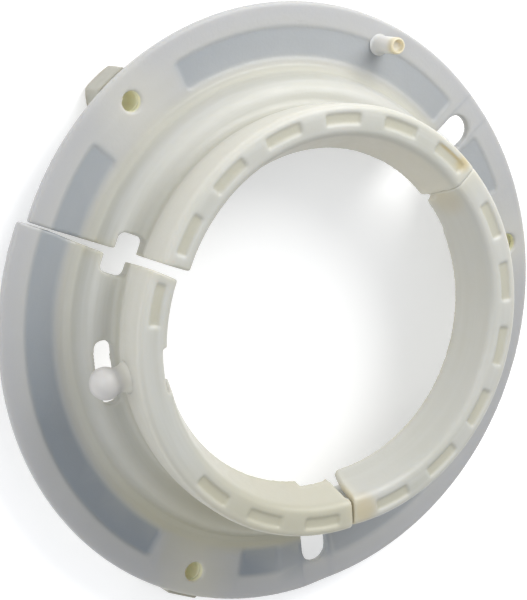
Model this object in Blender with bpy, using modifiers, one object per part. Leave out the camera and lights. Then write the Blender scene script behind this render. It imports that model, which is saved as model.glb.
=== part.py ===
# Split toilet flange in natural nylon, lying on its three hex nuts.
# Three arcs of one moulding are joined by two flexing webs and open at a third place.
# +Z is the ring's axis and points towards the collar's front face. Sizes are in
# millimetres and degrees here and become metres as the meshes are made.
import bpy
import bmesh
from math import radians, sin, cos, pi
from mathutils import Vector, Matrix

MM = 0.001
GAP = 0.25              # clearance between separate pieces

# ---- driving dimensions ----
RIM_R = 90.0            # outer radius of the plate
PLATE_T = 2.8           # plate thickness
PLATE_Z = 12.5          # plate's front face, above the nuts' feet
COLLAR_H = 30.0         # collar's front face, above the plate's front face
WINDOW_IN = 73.2        # thin windows in the plate
WINDOW_OUT = 82.8
WINDOW_DEPTH = 0.7
HOLE_R = 3.05           # screw holes
NUT_AF = 17.0           # hex nut, across flats
NUT_H = PLATE_Z - PLATE_T - GAP
NUT_BORE_R = 3.0
POCKET_IN = 55.8        # shallow pockets in the collar's front face
POCKET_OUT = 59.7
POCKET_SPAN = 11.5
POCKET_PITCH = 20.0
POCKET_DEPTH = 1.6
SLOT_W = 9.0            # relief slots beside the flexing webs
SLOT_IN = 61.0
SLOT_OUT = 83.0
SLOT_TOP = PLATE_Z + 11.5
WEB_UP = 61.0           # directions of the two flexing webs
WEB_LOW = -63.1
SLIT_UP = 64.5          # directions of the slits through the collar
SLIT_LOW = -66.3
SLIT_AT_RIM = 0.10      # half width of the slits, at the rim and towards the bore
SLIT_AT_BORE = 0.40
SLIT_ENDS = 72.0        # the slits come out into the relief slots before this radius
NOTCH_IN = 58.7         # notches in the two sides of the open split
NOTCH_OUT = 65.9
NOTCH_W = 8.4
STUD_AT = 209.4         # ball's centre: direction, radius and height above the plate
STUD_R = 67.9
STUD_H = 19.0
PEG_R = 82.7            # locating peg, from the upper arc's centre
PEG_AT = 88.5
SWEEP_STEPS = 90        # flats around a full turn of the moulding

# centres of the three arcs: the free ends are sprung slightly outwards
C_MID = Vector((2.3, 2.23))
C_UP = C_MID + Vector((-1.75, 0.95))
C_LOW = C_MID + Vector((-4.6, -3.0))

# section of the moulding, as radius and height above the plate's front face: down the
# collar's outside, around the plate's edge, and back up inside the shell to the lip
SECTION = [
    (60.6, 30.0), (61.7, 29.2), (62.0, 27.8), (61.6, 20.0), (60.9, 15.8), (59.9, 13.6),
    (59.5, 11.4), (60.0, 9.8), (61.4, 9.1), (63.6, 8.9), (65.8, 8.2), (67.4, 6.6),
    (68.6, 4.0), (69.5, 1.4), (70.6, 1.1), (71.2, 0.0), (89.6, 0.0), (90.0, -0.4),
    (90.0, -2.4), (89.6, -2.8), (66.8, -2.8), (65.8, 1.2), (64.6, 4.0), (63.0, 5.4),
    (60.6, 5.8), (58.0, 6.4), (56.5, 9.0), (56.3, 12.6), (57.2, 15.6), (58.2, 19.6),
    (58.3, 24.6), (57.4, 26.6), (55.8, 27.0), (54.2, 26.0), (52.6, 22.8), (50.4, 17.6),
    (48.9, 16.2), (48.0, 16.5), (48.3, 17.4), (50.4, 22.6), (52.4, 27.8), (53.4, 29.4),
    (54.8, 30.0)]

for old in list(bpy.data.objects):
    bpy.data.objects.remove(old, do_unlink=True)

parts = bpy.data.collections.new("toilet_flange")
cutters = bpy.data.collections.new("cutters")
bpy.context.scene.collection.children.link(parts)
bpy.context.scene.collection.children.link(cutters)


def nylon(name, colour, roughness):
    mat = bpy.data.materials.new(name)
    mat.use_nodes = True
    shader = mat.node_tree.nodes["Principled BSDF"]
    shader.inputs["Base Color"].default_value = (colour[0], colour[1], colour[2], 1.0)
    shader.inputs["Roughness"].default_value = roughness
    return mat


def polar(centre, radius, angle):
    """A point at a radius and direction from a centre, seen from above."""
    a = radians(angle)
    return Vector((centre.x + radius * cos(a), centre.y + radius * sin(a)))


def beside(centre, radius, angle, offset):
    """As polar, then moved sideways, anticlockwise for a positive offset."""
    a = radians(angle)
    return polar(centre, radius, angle) + Vector((-sin(a), cos(a))) * offset


def turned(name, profile, steps):
    """A profile of (radius, height) turned about the Z axis with a Screw modifier."""
    mesh = bpy.data.meshes.new(name)
    verts = [(r * MM, 0.0, z * MM) for r, z in profile]
    edges = [(i, i + 1) for i in range(len(profile) - 1)]
    if profile[0][0] > 0.0:
        edges.append((len(profile) - 1, 0))
    mesh.from_pydata(verts, edges, [])
    obj = bpy.data.objects.new(name, mesh)
    screw = obj.modifiers.new("turn", "SCREW")
    screw.axis = "Z"
    screw.angle = 2 * pi
    screw.steps = steps
    screw.render_steps = steps
    screw.use_merge_vertices = True
    screw.merge_threshold = 0.00001
    return obj


def cylinder(name, radius, z_low, z_high, sides):
    bm = bmesh.new()
    height = (z_high - z_low) * MM
    centre = Matrix.Translation((0.0, 0.0, (z_low + z_high) / 2 * MM))
    bmesh.ops.create_cone(bm, cap_ends=True, segments=sides, radius1=radius * MM,
                          radius2=radius * MM, depth=height, matrix=centre)
    mesh = bpy.data.meshes.new(name)
    bm.to_mesh(mesh)
    bm.free()
    return bpy.data.objects.new(name, mesh)


def flat_outline(name, outline, z_low, z_high):
    """A flat outline as a filled 2D curve, extruded and made a closed mesh."""
    curve = bpy.data.curves.new(name, "CURVE")
    curve.dimensions = "2D"
    curve.fill_mode = "BOTH"
    curve.extrude = (z_high - z_low) / 2 * MM
    spline = curve.splines.new("POLY")
    spline.points.add(len(outline) - 1)
    for point, place in zip(spline.points, outline):
        point.co = (place[0] * MM, place[1] * MM, 0.0, 1.0)
    spline.use_cyclic_u = True
    shape = bpy.data.objects.new(name + "_curve", curve)
    bpy.context.scene.collection.objects.link(shape)
    graph = bpy.context.evaluated_depsgraph_get()
    mesh = bpy.data.meshes.new_from_object(shape.evaluated_get(graph))
    bpy.data.objects.remove(shape, do_unlink=True)
    bm = bmesh.new()
    bm.from_mesh(mesh)
    bmesh.ops.remove_doubles(bm, verts=bm.verts, dist=0.000001)
    bmesh.ops.recalc_face_normals(bm, faces=bm.faces)
    bm.to_mesh(mesh)
    bm.free()
    obj = bpy.data.objects.new(name, mesh)
    obj.location.z = (z_low + z_high) / 2 * MM
    return obj


def sector(centre, r_in, r_out, start, end):
    """Outline of a stretch of ring between two radii and two directions."""
    count = max(2, int(abs(end - start) / 4.0))
    turn = [start + (end - start) * i / count for i in range(count + 1)]
    outer = [polar(centre, r_out, a) for a in turn]
    inner = [polar(centre, r_in, a) for a in reversed(turn)]
    return outer + inner


def rounded_slot(centre, direction, r_in, r_out, width, corner):
    """Outline of a rounded rectangle that runs outwards along a direction."""
    out = polar(Vector((0.0, 0.0)), 1.0, direction)
    side = Vector((-out.y, out.x))
    outline = []
    for at_out, at_side, first in ((1, 1, 0), (0, 1, 90), (0, -1, 180), (1, -1, 270)):
        along = r_out - corner if at_out else r_in + corner
        across = (width / 2 - corner) * at_side
        for i in range(4):
            a = radians(first + 30 * i)
            outline.append(centre + out * (along + corner * cos(a)) + side * (across + corner * sin(a)))
    return outline


def cut(target, cutter, operation="DIFFERENCE"):
    if cutter.name not in cutters.objects:
        cutters.objects.link(cutter)
        cutter.hide_render = True
        cutter.display_type = "WIRE"
    boolean = target.modifiers.new(cutter.name, "BOOLEAN")
    boolean.operation = operation
    boolean.solver = "EXACT"
    boolean.object = cutter


def empty(name, place, height):
    obj = bpy.data.objects.new(name, None)
    obj.empty_display_size = 0.01
    obj.location = (place.x * MM, place.y * MM, height * MM)
    parts.objects.link(obj)
    return obj


def add_part(obj, parent, place, height, mat):
    """Puts a piece at a place in the part's frame and hangs it on its body's empty."""
    parts.objects.link(obj)
    obj.location = Vector((place.x, place.y, height)) * MM - parent.location
    obj.parent = parent
    obj.data.materials.append(mat)


# ---- joint axes: the outer skin of each flexing web, where the plate bends ----
middle_body = empty("middle_body", Vector((0.0, 0.0)), 0.0)
upper_hinge = empty("upper_hinge", polar(C_MID, RIM_R, WEB_UP), PLATE_Z)
lower_hinge = empty("lower_hinge", polar(C_MID, RIM_R, WEB_LOW), PLATE_Z)


# ---- outlines that trim each arc to its share of the ring ----
def slit(direction, web, way):
    """One side of a slit: through the collar, across its relief slot, and through the web."""
    return [beside(C_MID, 30.0, direction, SLIT_AT_BORE * way),
            beside(C_MID, SLIT_ENDS, direction, SLIT_AT_RIM * way),
            beside(C_MID, SLIT_ENDS + 5.0, web, SLIT_AT_RIM * way),
            beside(C_MID, 200.0, web, SLIT_AT_RIM * way)]


far = 200.0
middle_share = (slit(SLIT_LOW, WEB_LOW, 1) + [Vector((far, -60.0)), Vector((far, 110.0))]
                + slit(SLIT_UP, WEB_UP, -1)[::-1])
upper_edge = [C_MID + Vector((-far, -0.55)), C_MID + Vector((-84.5, -0.55)),
              C_MID + Vector((-56.6, 0.1)), C_MID + Vector((-30.0, 0.75))]
upper_share = slit(SLIT_UP, WEB_UP, 1) + [Vector((60.0, far)), Vector((-far, far))] + upper_edge
lower_edge = [C_MID + Vector((-30.0, -5.1)), C_MID + Vector((-58.1, -2.96)),
              C_MID + Vector((-84.5, -1.05)), C_MID + Vector((-far, -1.05))]
lower_share = lower_edge + [Vector((-far, -far)), Vector((60.0, -far))] + slit(SLIT_LOW, WEB_LOW, -1)[::-1]

TOP = PLATE_Z + COLLAR_H


def ring_segment(name, centre, share, bolt, pockets, windows):
    """One arc of the moulding, trimmed to its share, with its windows, pockets and hole."""
    segment = turned(name, SECTION, SWEEP_STEPS)
    cut(segment, flat_outline(name + "_share", share, -5.0, 60.0), "INTERSECT")
    for i, (start, end) in enumerate(windows):
        outline = sector(centre, WINDOW_IN, WINDOW_OUT, start, end)
        cut(segment, flat_outline(name + "_window_%d" % (i + 1), outline,
                                  PLATE_Z - WINDOW_DEPTH, PLATE_Z + 3.0))
    for i, at in enumerate(pockets):
        outline = sector(centre, POCKET_IN, POCKET_OUT, at - POCKET_SPAN / 2, at + POCKET_SPAN / 2)
        cut(segment, flat_outline(name + "_pocket_%d" % (i + 1), outline, TOP - POCKET_DEPTH, TOP + 3.0))
    hole = cylinder(name + "_screw_hole", HOLE_R, 5.0, 20.0, 20)
    spot = polar(centre, *bolt)
    hole.location = (spot.x * MM, spot.y * MM, 0.0)
    cut(segment, hole)
    return segment


def pocket_row(first, count):
    return [first - POCKET_PITCH * i for i in range(count)]


# screw holes, as radius and direction from the arc's own centre
UPPER_BOLT = (81.7, 150.8)
MIDDLE_BOLT = (82.4, 29.8)
LOWER_BOLT = (82.6, 270.1)

upper = ring_segment("upper_segment", C_UP, upper_share, UPPER_BOLT, pocket_row(171.5, 6),
                     [(65.5, 139.0), (162.2, 186.0)])
middle = ring_segment("middle_segment", C_MID, middle_share, MIDDLE_BOLT, pocket_row(47.9, 6),
                      [(42.5, 56.5), (-58.5, 17.0)])
# no pockets near the ball stud
lower = ring_segment("lower_segment", C_LOW, lower_share, LOWER_BOLT,
                     pocket_row(288.2, 3) + [188.2], [(174.0, 258.0), (281.0, 291.5)])

# relief slots beside the flexing webs, each shared by the two arcs that meet there
for name, direction, neighbour in (("upper_web_slot", WEB_UP, upper), ("lower_web_slot", WEB_LOW, lower)):
    outline = rounded_slot(C_MID, direction, SLOT_IN, SLOT_OUT, SLOT_W, SLOT_W / 2 - 0.2)
    slot = flat_outline(name, outline, 2.0, SLOT_TOP)
    cut(middle, slot)
    cut(neighbour, slot)

# a notch in each side of the open split
for name, arc, centre in (("upper_split_notch", upper, C_UP), ("lower_split_notch", lower, C_LOW)):
    outline = rounded_slot(centre, 180.0, NOTCH_IN, NOTCH_OUT, NOTCH_W, 1.4)
    cut(arc, flat_outline(name, outline, 2.0, SLOT_TOP))

# the corners of the inner lip are cut back in a V at each slit
upper_v = [polar(C_MID, 45.0, 69.2), polar(C_MID, 45.0, 56.8), polar(C_MID, 50.4, 63.2)]
lower_v = [polar(C_MID, 45.0, -60.8), polar(C_MID, 45.0, -69.5), polar(C_MID, 54.7, -67.4)]
for name, outline, neighbour in (("upper_lip_v", upper_v, upper), ("lower_lip_v", lower_v, lower)):
    notch = flat_outline(name, outline, 20.0, 60.0)
    cut(middle, notch)
    cut(neighbour, notch)

# the lip is lower at the arcs' ends, and missing beside the ball stud
for name, arc, centre, radius, start, end in (("upper_lip_step", upper, C_UP, 50.6, 161.6, 190.0),
                                              ("middle_lip_step", middle, C_MID, 48.6, 48.0, 68.0),
                                              ("lower_lip_step", lower, C_LOW, 49.6, 286.2, 308.0),
                                              ("lower_lip_gap", lower, C_LOW, 54.5, 200.7, 214.4)):
    cut(arc, flat_outline(name, sector(centre, 40.0, radius, start, end), 20.0, TOP + 5.0))
cut(lower, flat_outline("shoulder_slot", sector(C_LOW, 60.0, 65.2, 201.2, 218.4),
                        PLATE_Z + 1.0, PLATE_Z + 11.2))

# ---- ball stud: a ball on a flared neck, its shank pressed into the collar's wall ----
STUD_SHANK_R = 1.5
BALL_R = 4.7
ball_arc = [(BALL_R * sin(radians(a)), BALL_R * (1 + cos(radians(a)))) for a in range(0, 141, 20)]
stud_profile = [(r, z - BALL_R) for r, z in ball_arc] + [
    (3.1, -4.2), (3.4, -4.8), (4.6, -5.7), (4.6, -6.0), (STUD_SHANK_R, -6.0),
    (STUD_SHANK_R, -9.0), (0.0, -9.0)]
ball_stud = turned("ball_stud", stud_profile, 18)
stud_turn = Matrix.Rotation(radians(STUD_AT), 4, "Z") @ Matrix.Rotation(radians(90.0), 4, "Y")
stud_place = polar(C_LOW, STUD_R, STUD_AT)
socket = cylinder("stud_socket", STUD_SHANK_R + GAP, -10.3, 0.0, 16)
socket.matrix_world = Matrix.Translation((stud_place.x * MM, stud_place.y * MM,
                                          (PLATE_Z + STUD_H) * MM)) @ stud_turn
cut(lower, socket)

# ---- locating peg: a hollow-ended pin on the plate, its shank in a hole through it ----
PEG_PROFILE = [
    (0.0, 7.4), (1.2, 7.6), (1.4, 10.2), (2.1, 10.2), (2.55, 9.7),
    (2.7, -0.6), (1.4, -0.6), (1.4, -2.6), (0.0, -2.6)]
locating_peg = turned("locating_peg", PEG_PROFILE, 16)
peg_place = polar(C_UP, PEG_R, PEG_AT)
for name, radius, low, high in (("peg_hole", 1.4 + GAP, -5.0, 3.0), ("peg_seat", 2.7 + GAP, -0.85, 3.0)):
    hole = cylinder(name, radius, low, high, 16)
    hole.location = (peg_place.x * MM, peg_place.y * MM, PLATE_Z * MM)
    cut(upper, hole)


def hex_nut(name):
    """A hex nut whose foot has its corners taken off, with a plain hole."""
    corner = NUT_AF / 2 / cos(radians(30.0))
    nut = cylinder(name, corner, 0.0, NUT_H, 6)
    crown = turned(name + "_crown", [(0.0, NUT_H + 1.0), (corner + 1.0, NUT_H + 1.0), (corner + 1.0, 1.9),
                                     (corner - 1.4, 0.0), (0.0, 0.0)], 24)
    cut(nut, crown, "INTERSECT")
    bore = cylinder(name + "_bore", NUT_BORE_R, -1.0, NUT_H + 1.0, 20)
    cut(nut, bore)
    return nut, (crown, bore)


# ---- a hex nut behind each screw hole, with a flat facing outwards ----
for label, centre, bolt, parent in (("upper", C_UP, UPPER_BOLT, upper_hinge),
                                    ("middle", C_MID, MIDDLE_BOLT, middle_body),
                                    ("lower", C_LOW, LOWER_BOLT, lower_hinge)):
    spot = polar(centre, *bolt)
    nut, tools = hex_nut(label + "_hex_nut")
    turn = radians(bolt[1])
    for tool in tools:
        tool.location = (spot.x * MM, spot.y * MM, 0.0)
        tool.rotation_euler.z = turn
    nut.rotation_euler.z = turn
    add_part(nut, parent, spot, 0.0, nylon(label + "_nut_nylon", (0.74, 0.72, 0.62), 0.5))

add_part(middle, middle_body, C_MID, PLATE_Z, nylon("middle_nylon", (0.80, 0.79, 0.70), 0.42))
add_part(upper, upper_hinge, C_UP, PLATE_Z, nylon("upper_nylon", (0.80, 0.79, 0.70), 0.42))
add_part(lower, lower_hinge, C_LOW, PLATE_Z, nylon("lower_nylon", (0.78, 0.78, 0.70), 0.42))
add_part(ball_stud, lower_hinge, stud_place, PLATE_Z + STUD_H,
         nylon("stud_nylon", (0.84, 0.80, 0.74), 0.45))
ball_stud.rotation_euler = stud_turn.to_euler()
add_part(locating_peg, upper_hinge, peg_place, PLATE_Z, nylon("peg_nylon", (0.84, 0.81, 0.73), 0.45))
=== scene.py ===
# Split toilet flange in natural nylon, dressed around the imported frame.
# Each of the moulding's three arcs is built, rounded like a moulded part and trimmed where
# a flexing web starts. The two webs are pieces of their own.
# Sizes are in millimetres and degrees, as in the part.
import bpy
import bmesh
import numpy as np
from math import radians, sin, cos, pi
from mathutils import Vector, Matrix


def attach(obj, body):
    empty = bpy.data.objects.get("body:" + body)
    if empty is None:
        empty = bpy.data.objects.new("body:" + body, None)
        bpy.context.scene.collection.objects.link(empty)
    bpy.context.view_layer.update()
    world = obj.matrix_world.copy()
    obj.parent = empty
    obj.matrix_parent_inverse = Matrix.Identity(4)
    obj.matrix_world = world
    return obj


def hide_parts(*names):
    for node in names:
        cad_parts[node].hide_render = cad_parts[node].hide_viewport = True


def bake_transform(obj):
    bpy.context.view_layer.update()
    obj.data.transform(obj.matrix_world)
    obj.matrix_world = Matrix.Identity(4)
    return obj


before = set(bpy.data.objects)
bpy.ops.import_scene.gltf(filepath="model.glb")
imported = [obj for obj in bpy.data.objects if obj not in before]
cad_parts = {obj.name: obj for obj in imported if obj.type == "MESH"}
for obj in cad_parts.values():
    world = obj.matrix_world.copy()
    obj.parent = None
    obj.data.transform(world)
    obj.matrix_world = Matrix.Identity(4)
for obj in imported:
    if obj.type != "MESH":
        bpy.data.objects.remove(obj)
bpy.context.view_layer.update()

MM = 0.001

# ---- the part's own dimensions (the windows and pockets are drawn a little shallower,
# because the nylon's glow softens them) ----
RIM_R = 90.0
PLATE_T = 2.8
PLATE_Z = 12.5
COLLAR_H = 30.0
TOP = PLATE_Z + COLLAR_H
WINDOW_IN = 73.2
WINDOW_OUT = 82.8
WINDOW_DEPTH = 0.4
HOLE_R = 2.95           # 0.1 under the part's, because rounding opens the hole's mouth
NUT_AF = 17.0
GAP = 0.03
NUT_H = PLATE_Z - PLATE_T - GAP
NUT_BORE_R = 3.0
POCKET_IN = 56.0
POCKET_OUT = 59.6
POCKET_SPAN = 12.2
POCKET_DEPTH = 0.75
SLOT_W = 9.0
SLOT_IN = 61.0
SLOT_OUT = 83.0
SLOT_TOP = PLATE_Z + 11.5
SLOT_CORNER = SLOT_W / 2 - 0.1      # so the slots' ends are nearly half round
WEB_UP = 61.0
WEB_LOW = -63.1
SLIT_UP = 64.5
SLIT_LOW = -66.3
SLIT_UP_HALF = -0.1     # below zero the rounded sides just meet, so the slit is a faint line
SLIT_LOW_HALF = 0.25
NOTCH_IN = 58.7
NOTCH_OUT = 65.9
NOTCH_W = 8.4
STUD_AT = 209.4
STUD_R = 67.9
STUD_H = 19.0
BALL_R = 4.7
PEG_R = 82.7
PEG_AT = 88.5
C_MID = Vector((2.3, 2.23))
C_UP = C_MID + Vector((-1.75, 0.95))
C_LOW = C_MID + Vector((-4.6, -3.0))

# the ring's section, as (radius, height over the plate's face)
SECTION = [
    (60.6, 30.0), (61.7, 29.2), (62.0, 27.8), (61.6, 20.0), (60.9, 15.8), (59.9, 13.6),
    (59.5, 11.4), (60.0, 9.8), (61.4, 9.1), (63.6, 8.9), (65.8, 8.2), (67.4, 6.6),
    (68.6, 4.0), (69.5, 1.4), (70.6, 1.1), (71.2, 0.0), (89.6, 0.0), (90.0, -0.4),
    (90.0, -2.4), (89.6, -2.8), (66.8, -2.8), (65.8, 1.2), (64.6, 4.0), (63.0, 5.4),
    (60.6, 5.8), (58.0, 6.4), (56.5, 9.0), (56.3, 12.6), (57.2, 15.6), (58.2, 19.6),
    (58.3, 24.6), (57.4, 26.6), (55.8, 27.0), (54.2, 26.0), (52.6, 22.8), (50.4, 17.6),
    (48.9, 16.2), (48.0, 16.5), (48.3, 17.4), (50.4, 22.6), (52.4, 27.8), (53.4, 29.4),
    (54.8, 30.0)]

# the web's section: the plate's outer part
RIM_SECTION = [(74.0, 0.0), (89.6, 0.0), (90.0, -0.4), (90.0, -2.4), (89.6, -2.8), (74.0, -2.8)]

VOXEL = 0.45            # size of the cells that the moulding is rounded with
SMOOTH_PASSES = 9
WEB_HALF = SLOT_W / 2 + 0.6     # a web is cut free this far to each side of its slot's middle
WEB_IN = 76.0           # the radius at which a web starts
RUN_ON = 9.0            # how far an arc runs on past its end before it is trimmed
SHARP_ANGLE = 55.0      # edges that turn by more than this stay sharp
FAR = 200.0             # well outside the ring
ORIGIN = Vector((0.0, 0.0))


# ------------------------------------------------------------------ helpers
def polar(centre, radius, angle):
    a = radians(angle)
    return Vector((centre.x + radius * cos(a), centre.y + radius * sin(a)))


def beside(centre, radius, angle, offset):
    a = radians(angle)
    return polar(centre, radius, angle) + Vector((-sin(a), cos(a))) * offset


def rounded(profile, passes):
    """Cuts the corners of a closed outline, so that its bends become smooth curves."""
    pts = [Vector(p) for p in profile]
    for _ in range(passes):
        cutoff = []
        for i, p in enumerate(pts):
            q = pts[(i + 1) % len(pts)]
            share = 0.25 if (q - p).length < 6.0 else 0.04
            cutoff.append(p.lerp(q, share))
            cutoff.append(q.lerp(p, share))
        pts = cutoff
    return pts


def new_object(name, bm):
    """Makes an object from a mesh in millimetres."""
    bmesh.ops.recalc_face_normals(bm, faces=bm.faces)
    bmesh.ops.scale(bm, vec=(MM, MM, MM), verts=bm.verts)
    mesh = bpy.data.meshes.new(name)
    bm.to_mesh(mesh)
    bm.free()
    obj = bpy.data.objects.new(name, mesh)
    bpy.context.scene.collection.objects.link(obj)
    return obj


def add_prism(bm, outline, z_low, z_high):
    face = bm.faces.new([bm.verts.new((p[0], p[1], z_low)) for p in outline])
    top = bmesh.ops.extrude_face_region(bm, geom=[face])
    bmesh.ops.translate(bm, vec=(0, 0, z_high - z_low),
                        verts=[v for v in top["geom"] if isinstance(v, bmesh.types.BMVert)])


def add_cylinder(bm, place, radius, z_low, z_high, sides=40):
    middle = Matrix.Translation((place.x, place.y, (z_low + z_high) / 2))
    bmesh.ops.create_cone(bm, cap_ends=True, segments=sides, radius1=radius, radius2=radius,
                          depth=z_high - z_low, matrix=middle)


def add_sweep(bm, rings):
    """Joins a row of closed sections into a solid."""
    rows = [[bm.verts.new(p) for p in ring] for ring in rings]
    for row, following in zip(rows, rows[1:]):
        for i in range(len(row)):
            j = (i + 1) % len(row)
            bm.faces.new((row[i], row[j], following[j], following[i]))
    bm.faces.new(rows[0][::-1])
    bm.faces.new(rows[-1])


def arc_rings(centre, profile, start, end):
    steps = int((end - start) / 1.5)
    rings = []
    for i in range(steps + 1):
        a = radians(start + (end - start) * i / steps)
        rings.append([(centre.x + r * cos(a), centre.y + r * sin(a), PLATE_Z + z) for r, z in profile])
    return rings


def sector(centre, r_in, r_out, start, end):
    count = max(4, int(abs(end - start)))
    turn = [start + (end - start) * i / count for i in range(count + 1)]
    return [polar(centre, r_out, a) for a in turn] + [polar(centre, r_in, a) for a in reversed(turn)]


def rounded_slot(centre, direction, r_in, r_out, width, corner):
    out = polar(ORIGIN, 1.0, direction)
    side = Vector((-out.y, out.x))
    outline = []
    for at_out, at_side, first in ((1, 1, 0), (0, 1, 90), (0, -1, 180), (1, -1, 270)):
        along = r_out - corner if at_out else r_in + corner
        across = (width / 2 - corner) * at_side
        for i in range(7):
            a = radians(first + 15 * i)
            outline.append(centre + out * (along + corner * cos(a))
                           + side * (across + corner * sin(a)))
    return outline


def rounded_sector(centre, r_in, r_out, start, end, corner):
    """A stretch of ring with its four corners rounded."""
    outline = []
    mid = (r_in + r_out) / 2
    half = (r_out - r_in) / 2
    turn_at = [(start, end, 1), (end, start, -1)]
    for first, last, way in turn_at:
        r_edge = mid + half * way
        inset = corner / r_edge * 180 / pi * way
        count = max(4, int(abs(last - first)))
        a0 = first + inset
        a1 = last - inset
        for i in range(count + 1):
            outline.append(polar(centre, r_edge, a0 + (a1 - a0) * i / count))
        for i in range(1, 6):
            t = radians(90 * i / 6)
            r = r_edge - way * corner * (1 - cos(t))
            a = last - inset * (1 - sin(t))
            outline.append(polar(centre, r, a))
        for i in range(0, 6):
            t = radians(90 * i / 6)
            r = mid - half * way + way * corner * (1 - sin(t))
            a = last - inset * (1 - cos(t))
            outline.append(polar(centre, r, a))
    return outline


def boolean(target, cutter, operation="DIFFERENCE", overlapping=False):
    mod = target.modifiers.new("cut", "BOOLEAN")
    mod.operation = operation
    mod.solver = "EXACT"
    mod.use_self = overlapping
    mod.object = cutter


def apply_modifiers(obj):
    graph = bpy.context.evaluated_depsgraph_get()
    mesh = bpy.data.meshes.new_from_object(obj.evaluated_get(graph))
    obj.modifiers.clear()
    obj.data = mesh


def discard(obj):
    bpy.data.objects.remove(obj, do_unlink=True)


def slit(direction, web, way, half):
    """A side of a slit. Past the slot the arc runs on, until it is trimmed where the web starts."""
    return [beside(C_MID, 30.0, direction, 1.6 * half * way),
            beside(C_MID, 62.0, direction, half * way), beside(C_MID, 72.0, direction, half * way),
            beside(C_MID, 77.0, web, half * way), beside(C_MID, 77.1, web, -RUN_ON * way),
            beside(C_MID, FAR, web, -RUN_ON * way)]


# ------------------------------------------------------------------ the moulding
# the arcs' edges at the open split, and what each arc's share of the plane is
upper_edge = [C_MID + Vector((-FAR, -0.55)), C_MID + Vector((-84.5, -0.55)),
              C_MID + Vector((-56.6, 0.1)), C_MID + Vector((-30.0, 0.75))]
lower_edge = [C_MID + Vector((-30.0, -5.1)), C_MID + Vector((-58.1, -2.96)),
              C_MID + Vector((-84.5, -1.05)), C_MID + Vector((-FAR, -1.05))]
SHARES = {
    "middle": (slit(SLIT_LOW, WEB_LOW, 1, SLIT_LOW_HALF) + [Vector((FAR, -60.0)), Vector((FAR, 110.0))]
               + slit(SLIT_UP, WEB_UP, -1, SLIT_UP_HALF)[::-1]),
    "upper": (slit(SLIT_UP, WEB_UP, 1, SLIT_UP_HALF)
              + [Vector((60.0, FAR)), Vector((-FAR, FAR))] + upper_edge),
    "lower": (lower_edge + [Vector((-FAR, -FAR)), Vector((60.0, -FAR))]
              + slit(SLIT_LOW, WEB_LOW, -1, SLIT_LOW_HALF)[::-1])}
# centre, the swept stretch's start and end, screw hole, pockets' middles, windows
ARCS = {
    "middle": (C_MID, -72.0, 71.0, (82.4, 29.8), (47.9, 27.9, 7.9, -12.1, -32.1, -52.1),
               [(42.5, 56.5), (-58.5, 17.0)]),
    "upper": (C_UP, 53.0, 187.0, (81.7, 150.8), (171.5, 151.5, 131.5, 111.5, 91.5, 71.5),
              [(65.5, 139.0), (162.2, 190.0)]),
    "lower": (C_LOW, 173.0, 305.0, (82.6, 270.1), (288.2, 268.2, 248.2, 188.2),
              [(170.0, 258.0), (281.0, 291.5)])}
# where the lip is cut back: to what radius, and between which angles
LIP_STEPS = {"middle": [(48.6, 48.0, 72.0)], "upper": [(50.6, 161.6, 190.0)],
             "lower": [(49.6, 286.2, 308.0), (54.5, 200.7, 214.4)]}
LIP_LOW = 20.0          # lower than any part of the lip
# stretches beside the lower web that are as thin as a window, but aren't sunk
THIN_AT_WEB = {"middle": [(-80.0, -58.5)], "lower": [(285.0, 310.0)]}


def build_arc(name):
    """One arc of the moulding with its windows, pockets, screw hole, slots and notches."""
    centre, start, end, bolt, pockets, windows = ARCS[name]
    bm = bmesh.new()
    add_sweep(bm, arc_rings(centre, rounded(SECTION, 2), start, end))
    arc = new_object(name + "_arc", bm)

    bm = bmesh.new()
    add_prism(bm, SHARES[name], -5.0, 60.0)
    share = new_object("share", bm)
    boolean(arc, share, "INTERSECT")

    bm = bmesh.new()
    for a0, a1 in windows:
        add_prism(bm, rounded_sector(centre, WINDOW_IN, WINDOW_OUT, a0, a1, 1.6),
                  PLATE_Z - WINDOW_DEPTH, PLATE_Z + 0.9)
    for at in pockets:
        add_prism(bm, rounded_sector(centre, POCKET_IN, POCKET_OUT, at - POCKET_SPAN / 2,
                                     at + POCKET_SPAN / 2, 0.7), TOP - POCKET_DEPTH, TOP + 3.0)
    add_cylinder(bm, polar(centre, *bolt), HOLE_R, 5.0, 20.0)
    features = new_object("features", bm)
    boolean(arc, features)

    bm = bmesh.new()
    if name != "lower":
        add_prism(bm, rounded_slot(C_MID, WEB_UP, SLOT_IN, SLOT_OUT, SLOT_W, SLOT_CORNER),
                  2.0, SLOT_TOP)
        add_prism(bm, [polar(C_MID, 45.0, 69.2), polar(C_MID, 45.0, 56.8), polar(C_MID, 50.4, 63.2)],
                  LIP_LOW, 60.0)
    if name != "upper":
        add_prism(bm, rounded_slot(C_MID, WEB_LOW, SLOT_IN, SLOT_OUT, SLOT_W, SLOT_CORNER),
                  2.0, SLOT_TOP)
        add_prism(bm, [polar(C_MID, 45.0, -60.8), polar(C_MID, 45.0, -69.5), polar(C_MID, 54.7, -67.4)],
                  LIP_LOW, 60.0)
    if name != "middle":
        add_prism(bm, rounded_slot(centre, 180.0, NOTCH_IN, NOTCH_OUT, NOTCH_W, 1.6), 2.0, SLOT_TOP)
    for r_out, first, last in LIP_STEPS[name]:
        add_prism(bm, sector(centre, 40.0, r_out, first, last), LIP_LOW, TOP + 5.0)
    if name == "lower":
        add_prism(bm, rounded_sector(centre, 60.0, 65.3, 201.2, 218.4, 2.4),
                  PLATE_Z + 1.0, PLATE_Z + 11.2)
    openings = new_object("openings", bm)
    boolean(arc, openings, overlapping=True)
    apply_modifiers(arc)
    for tool in (share, features, openings):
        discard(tool)
    return arc


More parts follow.
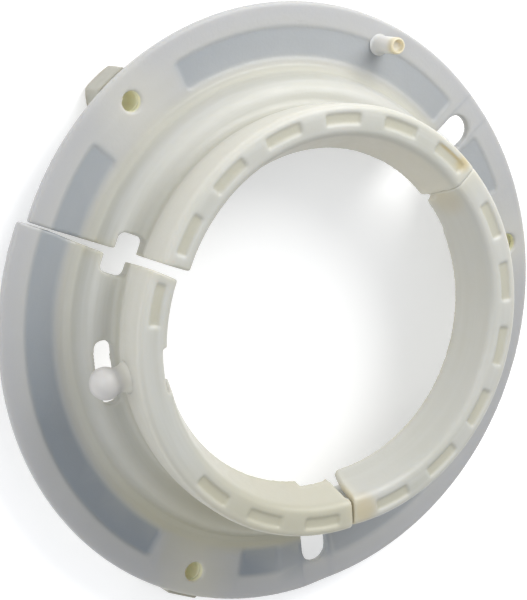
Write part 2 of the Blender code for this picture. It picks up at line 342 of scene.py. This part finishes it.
def eased(obj, voxel, ratio):
    """Rebuilds a piece in fine cells and relaxes it, which rounds every edge like a moulding's."""
    remesh = obj.modifiers.new("cells", "REMESH")
    remesh.mode = "VOXEL"
    remesh.voxel_size = voxel * MM
    ease = obj.modifiers.new("ease", "SMOOTH")
    ease.factor = 0.5
    ease.iterations = SMOOTH_PASSES
    fewer = obj.modifiers.new("fewer", "DECIMATE")
    fewer.ratio = ratio
    apply_modifiers(obj)


def web_block(direction, near, far):
    """The outline of the strip that a web fills, from one side to the other."""
    return [beside(C_MID, WEB_IN, direction, near), beside(C_MID, RIM_R + 6.0, direction, near),
            beside(C_MID, RIM_R + 6.0, direction, far), beside(C_MID, WEB_IN, direction, far)]


def trim(arc, direction, way):
    """Ends an arc where its flexing web starts."""
    bm = bmesh.new()
    add_prism(bm, web_block(direction, WEB_HALF * way, -20.0 * way), 0.0, 30.0)
    block = new_object("block", bm)
    boolean(arc, block)
    apply_modifiers(arc)
    discard(block)


def build_shell(name):
    shell = build_arc(name)
    eased(shell, VOXEL, 0.4)
    if name != "lower":
        trim(shell, WEB_UP, -1 if name == "middle" else 1)
    if name != "upper":
        trim(shell, WEB_LOW, 1 if name == "middle" else -1)
    return shell


def build_web(name, direction, other, way):
    """The strip of plate between two arcs. Its curve leaves one arc's centre for the other's."""
    shift = other - C_MID
    rings = []
    for i in range(37):
        offset = (-RUN_ON + i * 0.5) * way
        t = min(max(0.5 + offset * way / (2 * WEB_HALF), 0.0), 1.0)
        t = t * t * (3 - 2 * t)
        angle = direction + offset / 87.0 * 180 / pi
        out = polar(ORIGIN, 1.0, angle)
        along = shift.dot(out)
        across = shift.dot(Vector((-out.y, out.x)))
        ring = []
        for r, z in rounded(RIM_SECTION, 2):
            reach = r + t * (along + (r * r - across * across) ** 0.5 - r)
            ring.append((C_MID.x + out.x * reach, C_MID.y + out.y * reach, PLATE_Z + z))
        rings.append(ring)
    bm = bmesh.new()
    add_sweep(bm, rings)
    web = new_object(name, bm)
    bm = bmesh.new()
    add_prism(bm, rounded_slot(C_MID, direction, 70.0, SLOT_OUT, SLOT_W, SLOT_CORNER), 2.0, 30.0)
    slot = new_object("slot", bm)
    boolean(web, slot)
    apply_modifiers(web)
    eased(web, VOXEL, 0.6)
    bm = bmesh.new()
    add_prism(bm, web_block(direction, -WEB_HALF, WEB_HALF), 0.0, 30.0)
    block = new_object("block", bm)
    boolean(web, block, "INTERSECT")
    apply_modifiers(web)
    discard(slot)
    discard(block)
    return web


def turned(name, profile, steps):
    """A profile of (radius, height) turned about Z."""
    bm = bmesh.new()
    rows = []
    for i in range(steps):
        a = 2 * pi * i / steps
        rows.append([bm.verts.new((r * cos(a), r * sin(a), z)) for r, z in profile if r > 0])
    for row, following in zip(rows, rows[1:] + rows[:1]):
        for i in range(len(row) - 1):
            bm.faces.new((row[i], row[i + 1], following[i + 1], following[i]))
    bm.faces.new([row[0] for row in rows])
    bm.faces.new([row[-1] for row in rows])
    return new_object(name, bm)


def place(obj, matrix):
    """Moves the mesh and not the object, so that every piece's frame is the part's own."""
    obj.data.transform(matrix)


def eased_outline(points, passes):
    """Cuts the corners of an open profile, keeping its two ends."""
    pts = [Vector(p) for p in points]
    for _ in range(passes):
        fresh = [pts[0]]
        for p, q in zip(pts, pts[1:]):
            fresh += [p.lerp(q, 0.25), p.lerp(q, 0.75)]
        pts = fresh + [pts[-1]]
    return pts


def build_nut(name, centre, bolt):
    """A hex body with a rounded far end and a plain bore, one flat facing outwards."""
    corner = NUT_AF / 2 / cos(radians(30.0))
    bm = bmesh.new()
    add_prism(bm, [polar(ORIGIN, corner, 60.0 * i + 30.0) for i in range(6)], 0.0, NUT_H)
    nut = new_object(name, bm)
    crown = turned("crown", [(0.01, NUT_H + 1.0), (corner + 1.0, NUT_H + 1.0), (corner + 1.0, 1.7),
                             (corner - 1.2, 0.0), (0.01, 0.0)], 60)
    bm = bmesh.new()
    add_cylinder(bm, ORIGIN, NUT_BORE_R, -1.0, NUT_H + 1.0, 48)
    bore = new_object("bore", bm)
    boolean(nut, crown, "INTERSECT")
    boolean(nut, bore)
    apply_modifiers(nut)
    discard(crown)
    discard(bore)
    eased(nut, 0.32, 0.35)
    spot = polar(centre, *bolt)
    turn = Matrix.Rotation(radians(bolt[1]), 4, "Z")
    place(nut, Matrix.Translation((spot.x * MM, spot.y * MM, 0.0)) @ turn)
    return nut


def build_stud():
    """A slightly flattened ball on a neck that flares into the collar's wall."""
    ball = [(BALL_R * sin(radians(a)), BALL_R * cos(radians(a)) * (0.96 if a < 90 else 1.0))
            for a in range(4, 130, 7)]
    neck = eased_outline([ball[-1], (3.7, -3.5), (3.75, -4.4), (3.9, -5.3), (4.3, -6.0),
                          (4.7, -6.5)], 3)
    profile = ball[:-1] + [tuple(p) for p in neck] + [(4.0, -7.0)]
    stud = turned("stud", profile, 72)
    spot = polar(C_LOW, STUD_R, STUD_AT)
    turn = Matrix.Rotation(radians(STUD_AT), 4, "Z") @ Matrix.Rotation(radians(90.0), 4, "Y")
    place(stud, Matrix.Translation((spot.x * MM, spot.y * MM, (PLATE_Z + STUD_H) * MM)) @ turn)
    return stud


def build_peg():
    """A round peg with a hollow tip and a small fillet at its foot."""
    profile = eased_outline([(0.05, 8.7), (1.2, 8.75), (1.6, 9.3), (1.75, 9.9), (1.95, 10.2),
                             (2.25, 10.15), (2.5, 9.8), (2.56, 9.0), (2.62, 5.0), (2.68, 2.0),
                             (2.75, 0.7), (3.0, 0.15), (3.6, -0.2), (2.5, -0.5)], 2)
    peg = turned("peg", [tuple(p) for p in profile], 64)
    spot = polar(C_UP, PEG_R, PEG_AT)
    place(peg, Matrix.Translation((spot.x * MM, spot.y * MM, PLATE_Z * MM)))
    return peg


# ------------------------------------------------------------------ camera and stage
FOCAL_WIDTHS = 1800.0 / 527.0      # focal length in image widths
TILT = radians(32.33)           # between the line of sight and the ring's axis
ROLL = radians(17.9)
DISTANCE = 546.2
ASIDE = 9.15
BELOW = 1.9
MIDDLE = (0.0, 0.0, 0.02)       # what the lights point at, in metres
# place in metres, disk's diameter in metres, watts, colour
KEY = ((0.06, 0.40, 0.34), 0.42, 2.6, (1.0, 0.992, 0.98))
FILL = ((-0.75, -0.15, 0.55), 0.8, 3.0, (0.98, 0.985, 1.0))
SKY = (0.95, 0.97, 1.0, 1.0)
SKY_STRENGTH = 0.62
FLOOR_TONE = (0.90, 0.90, 0.90, 1.0)
FLOOR_GLOW = 0.28       # a lit floor keeps the backdrop near white and the shadows faint


def add_camera():
    """Looks down on the ring from the open split's side, rolled as in the photograph."""
    data = bpy.data.cameras.new("camera")
    data.sensor_fit = "HORIZONTAL"
    data.sensor_width = 36.0
    data.lens = data.sensor_width * FOCAL_WIDTHS
    data.clip_start = 0.01
    cam = bpy.data.objects.new("camera", data)
    across = Vector((cos(TILT), 0.0, sin(TILT)))
    right = across * cos(ROLL) + Vector((0.0, sin(ROLL), 0.0))
    up = across * -sin(ROLL) + Vector((0.0, cos(ROLL), 0.0))
    back = Vector((-sin(TILT), 0.0, cos(TILT)))
    place = Vector((C_MID.x, C_MID.y, PLATE_Z)) + back * DISTANCE - right * ASIDE + up * BELOW
    turn = Matrix((right, up, back)).transposed().to_4x4()
    cam.matrix_world = Matrix.Translation(place * MM) @ turn
    bpy.context.scene.collection.objects.link(cam)
    bpy.context.scene.camera = cam


def add_light(name, place, size, power, colour):
    data = bpy.data.lights.new(name, "AREA")
    data.shape = "DISK"
    data.size = size
    data.energy = power
    data.color = colour
    light = bpy.data.objects.new(name, data)
    light.location = place
    light.rotation_euler = (Vector(MIDDLE) - Vector(place)).to_track_quat("-Z", "Y").to_euler()
    bpy.context.scene.collection.objects.link(light)


def add_stage():
    bm = bmesh.new()
    bmesh.ops.create_grid(bm, x_segments=2, y_segments=2, size=3000.0)
    floor = new_object("floor", bm)
    floor.location.z = -0.0003
    mat = bpy.data.materials.new("floor_paint")
    mat.use_nodes = True
    shader = mat.node_tree.nodes["Principled BSDF"]
    shader.inputs["Base Color"].default_value = FLOOR_TONE
    shader.inputs["Roughness"].default_value = 0.9
    shader.inputs["Emission Color"].default_value = (1.0, 1.0, 1.0, 1.0)
    shader.inputs["Emission Strength"].default_value = FLOOR_GLOW
    floor.data.materials.append(mat)
    world = bpy.data.worlds.new("studio")
    world.use_nodes = True
    world.node_tree.nodes["Background"].inputs["Color"].default_value = SKY
    world.node_tree.nodes["Background"].inputs["Strength"].default_value = SKY_STRENGTH
    bpy.context.scene.world = world
    add_light("key", *KEY)
    add_light("fill", *FILL)
    bpy.context.scene.view_settings.view_transform = "Standard"


# ------------------------------------------------------------------ materials
NYLON = (0.455, 0.453, 0.420)
# the windows' bluish grey, also used as painted shade lower down and on the middle arc's inner wall
NYLON_THIN_AND_SHADE = (0.225, 0.252, 0.278)
# a warmer, darker tone: the nylon's own, and painted shade in the groove, at the shoulder's foot and on
# the lower arc's bottom
NYLON_WARM_AND_SHADE = (0.420, 0.405, 0.315)
PLATE_TONE = (0.385, 0.388, 0.392)
# a lighter cream: the nylon's own tone, and painted light on the collar's outer wall
CREAM_AND_LIGHT_TONE = (0.600, 0.585, 0.515)
STAIN_TONE = (0.46, 0.355, 0.13)
# painted light inside the screw holes and the nuts' bores
HOLE_LIGHT_TONE = (0.86, 0.84, 0.62)
NUT_NYLON = (0.34, 0.335, 0.295)
NUT_WARM = (0.28, 0.255, 0.195)
STUD_NYLON = (0.51, 0.497, 0.485)
PEG_NYLON = (0.62, 0.61, 0.59)
ROUGHNESS = 0.42
WAXINESS = 0.35         # share of the light that scatters inside
WAX_DEPTH = 0.004       # and how far it gets, in metres


def nylon_material(name, base, warm_and_shade=NYLON_WARM_AND_SHADE):
    """Natural nylon: colours that follow thickness, soft mottling, fine scuffs, with painted shade and
    painted light laid in from stored masks.
    """
    mat = bpy.data.materials.new(name)
    mat.use_nodes = True
    nodes = mat.node_tree.nodes
    links = mat.node_tree.links
    shader = nodes["Principled BSDF"]
    place = nodes.new("ShaderNodeTexCoord")

    def noise(scale, detail, rough=0.5):
        tex = nodes.new("ShaderNodeTexNoise")
        tex.inputs["Scale"].default_value = scale
        tex.inputs["Detail"].default_value = detail
        tex.inputs["Roughness"].default_value = rough
        links.new(place.outputs["Object"], tex.inputs["Vector"])
        return tex.outputs["Fac"]

    def ramp(source, low, high, a=0.0, b=1.0):
        scale = nodes.new("ShaderNodeMapRange")
        scale.inputs["From Min"].default_value = low
        scale.inputs["From Max"].default_value = high
        scale.inputs["To Min"].default_value = a
        scale.inputs["To Max"].default_value = b
        links.new(source, scale.inputs["Value"])
        return scale.outputs["Result"]

    def mix(factor, a, b):
        node = nodes.new("ShaderNodeMix")
        node.data_type = "RGBA"
        for label, value in (("Factor", factor), ("A", a), ("B", b)):
            socket = node.inputs[label]
            if isinstance(value, tuple):
                socket.default_value = value + (1.0,)
            else:
                links.new(value, socket)
        return node.outputs["Result"]

    def attribute(label):
        node = nodes.new("ShaderNodeAttribute")
        node.attribute_name = label
        return node.outputs["Fac"]

    def along_flow(scale, detail):
        node = nodes.new("ShaderNodeAttribute")
        node.attribute_name = "flow"
        tex = nodes.new("ShaderNodeTexNoise")
        tex.inputs["Scale"].default_value = scale
        tex.inputs["Detail"].default_value = detail
        links.new(node.outputs["Vector"], tex.inputs["Vector"])
        return tex.outputs["Fac"]

    def shade(colour, by):
        return tuple(c * f for c, f in zip(colour, by))

    cloudy = mix(ramp(noise(38.0, 3.0), 0.35, 0.65), base, shade(base, (0.94, 0.945, 0.91)))
    cloudy = mix(ramp(along_flow(1.0, 4.0), 0.42, 0.72), cloudy, shade(base, (1.05, 1.06, 1.07)))
    colour = cloudy
    # the stored masks lay tones on the nylon; some are painted shade and painted light
    for label, tone in (("plate", PLATE_TONE), ("thin_and_shade", NYLON_THIN_AND_SHADE), ("warm_and_shade", warm_and_shade),
                        ("cream_and_light", CREAM_AND_LIGHT_TONE), ("stain", STAIN_TONE), ("painted_hole_light", HOLE_LIGHT_TONE)):
        colour = mix(attribute(label), colour, tone)
    links.new(colour, shader.inputs["Base Color"])
    shader.inputs["Subsurface Weight"].default_value = WAXINESS
    shader.inputs["Subsurface Radius"].default_value = (1.0, 0.85, 0.6)
    shader.inputs["Subsurface Scale"].default_value = WAX_DEPTH
    shader.inputs["IOR"].default_value = 1.5
    scuffs = ramp(noise(420.0, 4.0), 0.3, 0.7, ROUGHNESS - 0.06, ROUGHNESS + 0.08)
    links.new(scuffs, shader.inputs["Roughness"])
    bump = nodes.new("ShaderNodeBump")
    bump.inputs["Strength"].default_value = 0.12
    bump.inputs["Distance"].default_value = 0.0004
    links.new(noise(900.0, 3.0, 0.6), bump.inputs["Height"])
    links.new(bump.outputs["Normal"], shader.inputs["Normal"])
    return mat


def smoothstep(low, high, x):
    t = np.clip((x - low) / (high - low), 0.0, 1.0)
    return t * t * (3.0 - 2.0 * t)


def band(low, high, soft, x):
    return smoothstep(low - soft, low + soft, x) * (1.0 - smoothstep(high - soft, high + soft, x))


def spot(x, y, z, place, reach):
    """Fades from 1 at a place to 0 at its reach."""
    gap = np.sqrt((x - place[0]) ** 2 + (y - place[1]) ** 2 + (z - place[2]) ** 2)
    return 1.0 - smoothstep(reach * 0.25, reach, gap)


def store(obj, values):
    for label, value in values.items():
        layer = obj.data.attributes.new(label, "FLOAT", "POINT")
        layer.data.foreach_set("value", np.clip(value, 0.0, 1.0).astype(np.float32))


def points(obj):
    co = np.empty(len(obj.data.vertices) * 3)
    obj.data.vertices.foreach_get("co", co)
    return co.reshape(-1, 3) / MM


# brown spots: radius and angle from the middle arc's centre, height, reach, strength
STAINS = [(59.8, 68.4, 30.0, 3.6, 0.55), (57.5, -62.5, 30.0, 6.5, 0.42),
          (52.0, 60.5, 23.0, 8.0, 0.25)]
CRACK_R = 59.5          # a stained hairline crack in the collar's face beside the upper slit
CRACK_SPAN = (68.5, 78.0)


def thinness_and_shade(name, turn, r):
    """How much of the windows' grey the plate takes: most in the windows, and more lower down and
    towards the split, which is painted shade.
    """
    thin_and_shade = np.zeros(len(r))
    across = (smoothstep(WINDOW_IN - 1.6, WINDOW_IN + 2.6, r)
              * (1.0 - smoothstep(WINDOW_OUT - 1.3, WINDOW_OUT + 0.9, r)))
    for first, last in ARCS[name][5] + THIN_AT_WEB.get(name, []):
        thin_and_shade = np.maximum(thin_and_shade, band(first, last, 1.3, turn) * across)
    if name == "middle":
        return thin_and_shade * 0.5
    # painted shade: the upper and lower arcs take more of the windows' grey than the middle one
    if name == "upper":
        return thin_and_shade * (0.50 + 0.18 * smoothstep(95.0, 150.0, turn))
    return thin_and_shade * (0.72 + 0.23 * smoothstep(190.0, 225.0, turn)
                   - 0.45 * smoothstep(284.0, 293.0, turn))


def staining(mx, my, mr, mturn, r, z):
    """The crack, the spots and the lip's brown back edge."""
    crack = 1.0 - smoothstep(0.25, 0.7, np.abs(mr - CRACK_R - 0.02 * (mturn - 72.0)))
    stain = crack * band(*CRACK_SPAN, 0.8, mturn) * smoothstep(29.0, 29.7, z) * 0.75
    for radius, angle, height, reach, strength in STAINS:
        blot = polar(ORIGIN, radius, angle)
        stain = np.maximum(stain, spot(mx, my, z, (blot.x, blot.y, height), reach) * strength)
    back = (1.0 - smoothstep(49.0, 51.0, r)) * (1.0 - smoothstep(16.2, 17.4, z))
    return np.maximum(stain, back * 0.35)


def paint(obj, name):
    """Stores where the nylon is thinner, where it is warmer and where it is stained, with the painted
    shade and painted light in its colour.

    Angles and radii are from the arc's own centre, or from the middle arc's where they
    start with m. Heights are over the plate's face.
    """
    centre, start, _, bolt, pockets, _ = ARCS[name]
    co = points(obj)
    x = co[:, 0] - centre.x
    y = co[:, 1] - centre.y
    z = co[:, 2] - PLATE_Z
    r = np.hypot(x, y)
    turn = np.degrees(np.arctan2(y, x))
    turn = np.where(turn < start - 15.0, turn + 360.0, turn)
    mx = co[:, 0] - C_MID.x
    my = co[:, 1] - C_MID.y
    mr = np.hypot(mx, my)
    mturn = np.degrees(np.arctan2(my, mx))

    # the plate, and painted light inside its screw hole
    flat = 1.0 - smoothstep(0.6, 1.8, z)
    thin_and_shade = thinness_and_shade(name, turn, r) * flat
    plate = smoothstep(69.0, 73.0, r) * flat * (0.75 + 0.25 * smoothstep(83.0, 88.0, r))
    hole = polar(ORIGIN, *bolt)
    gap = np.hypot(x - hole.x, y - hole.y)
    in_hole = (1.0 - smoothstep(HOLE_R + 0.1, HOLE_R + 0.5, gap)) * (1.0 - smoothstep(-1.0, -0.2, z))
    around_hole = (1.0 - smoothstep(4.0, 17.0, gap)) * flat

    # the shoulder, the groove over it and the collar's two walls; the groove and the shoulder's foot
    # get painted shade
    foot = band(68.4, 73.2, 1.8, r) * (1.0 - smoothstep(2.0, 5.0, z))
    groove_shade = band(9.6, 14.0, 1.8, z) * smoothstep(57.5, 59.0, r) * (1.0 - smoothstep(61.0, 65.0, r))
    inner = (1.0 - smoothstep(54.5, 57.0, r)) * band(17.5, 28.5, 1.5, z)
    outer = smoothstep(58.5, 60.0, r) * band(13.0, 29.0, 2.0, z)
    collar = smoothstep(10.0, 16.0, z)
    # painted shade: the lower arc's collar and shoulder, from 225° to 265°, darker and warmer
    low = smoothstep(225.0, 265.0, turn) * (1.0 - smoothstep(72.0, 76.0, r)) * (name == "lower")

    # the pockets' floors, the slits and the open ends
    pocket = np.zeros(len(co))
    for at in pockets:
        pocket = np.maximum(pocket, band(at - POCKET_SPAN / 2, at + POCKET_SPAN / 2, 0.7, turn))
    pocket *= band(POCKET_IN, POCKET_OUT, 0.4, r)
    pocket *= (1.0 - smoothstep(29.2, 29.9, z)) * smoothstep(27.9, 28.4, z)
    near_slit = (1.0 - smoothstep(0.3, 6.0, np.abs(mturn - SLIT_UP))
                 + 1.0 - smoothstep(0.2, 5.0, np.abs(mturn - SLIT_LOW))) * collar
    end_at = -1.0 if name == "upper" else 0.0
    ends = (1.0 - smoothstep(0.3, 3.0, np.abs(y - end_at))) * (x < 0) * (r < 70)

    # warmer tones, of which the groove, the shoulder's foot and the lower arc's stretch are painted
    # shade
    warm_and_shade = (around_hole * (0.45 if name == "lower" else 0.12) + low * 0.85 + groove_shade * 0.45
            + foot * 0.40 + pocket * 0.75 + near_slit * 0.35 + ends * 0.35)
    # painted light: the collar's outer wall is painted lighter in the cream tone, by arc, and more on
    # the upper arc past 95°
    painted_light_share = {"middle": 0.45, "upper": 0.40 + 0.35 * smoothstep(95.0, 135.0, turn), "lower": 0.65}[name]
    cream_and_light = (around_hole * 0.22 + inner * (0.85 if name == "upper" else 0.35) + outer * painted_light_share
             + near_slit * 0.25)
    stain = staining(mx, my, mr, mturn, r, z)
    if name == "upper":
        stain = np.maximum(stain, inner * 0.10)
    if name == "middle":
        end_face = 1.0 - smoothstep(0.4, 1.8, np.abs(mturn - SLIT_LOW))
        stain = np.maximum(stain, end_face * collar * 0.32)
        # painted shade: the middle arc's inner wall takes the windows' grey, more towards its lower end
        thin_and_shade = np.maximum(thin_and_shade, inner * 0.32 * (1.0 - smoothstep(-30.0, 25.0, turn)))
    store(obj, {"thin_and_shade": thin_and_shade, "plate": plate, "warm_and_shade": warm_and_shade, "cream_and_light": cream_and_light, "stain": stain,
                "painted_hole_light": in_hole * 0.9})
    flow = np.stack([np.radians(turn) * 0.9, r * 0.35, z * 0.35], axis=1)
    layer = obj.data.attributes.new("flow", "FLOAT_VECTOR", "POINT")
    layer.data.foreach_set("vector", flow.astype(np.float32).ravel())


def finish_piece(obj, mat, node=None, body=None):
    obj.data.materials.clear()
    obj.data.materials.append(mat)
    obj.data.shade_smooth()
    obj.data.set_sharp_from_angle(angle=radians(SHARP_ANGLE))
    if node:
        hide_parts(node)
        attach(obj, body)


# ------------------------------------------------------------------ build everything
def add_shell(name):
    shell = build_shell(name)
    shell.name = name + "_shell"
    paint(shell, name)
    nylon = nylon_material(name + "_natural_nylon", NYLON)
    finish_piece(shell, nylon, name + "_segment", name + "_body")


def add_nut(name):
    centre, _, _, bolt, _, _ = ARCS[name]
    nut = build_nut(name + "_nut", centre, bolt)
    middle = polar(centre, *bolt)
    co = points(nut)
    gap = np.hypot(co[:, 0] - middle.x, co[:, 1] - middle.y)
    # painted light inside the nut's bore
    store(nut, {"warm_and_shade": 0.25 + 0.6 * (1.0 - smoothstep(0.0, 2.0, co[:, 2])),
                "painted_hole_light": 1.0 - smoothstep(NUT_BORE_R + 0.1, NUT_BORE_R + 0.6, gap)})
    nylon = nylon_material(name + "_aged_nylon", NUT_NYLON, NUT_WARM)
    finish_piece(nut, nylon, name + "_hex_nut", name + "_body")


def add_web(name, direction, other, way):
    web = build_web(name + "_web", direction, other, way)
    paint(web, "middle")
    finish_piece(web, bpy.data.materials["middle_natural_nylon"])
    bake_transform(web)


def add_stud():
    """The stud's foot takes the collar's colour, because the two are moulded together."""
    stud = build_stud()
    co = points(stud)
    ball = polar(C_LOW, STUD_R, STUD_AT)
    inward = (C_LOW - ball).normalized()
    depth = (co[:, 0] - ball.x) * inward.x + (co[:, 1] - ball.y) * inward.y
    store(stud, {"cream_and_light": smoothstep(2.5, 5.5, depth)})
    finish_piece(stud, nylon_material("stud_white_nylon", STUD_NYLON),
                 "ball_stud", "lower_body")


def add_peg():
    peg = build_peg()
    height = points(peg)[:, 2] - PLATE_Z
    store(peg, {"stain": smoothstep(7.0, 10.0, height) * 0.45,
                "cream_and_light": smoothstep(6.0, 9.0, height) * 0.6})
    finish_piece(peg, nylon_material("peg_white_nylon", PEG_NYLON),
                 "locating_peg", "upper_body")


add_camera()
add_stage()
for name in ("middle", "upper", "lower"):
    add_shell(name)
    add_nut(name)
add_web("upper", WEB_UP, C_UP, 1)
add_web("lower", WEB_LOW, C_LOW, -1)
add_stud()
add_peg()
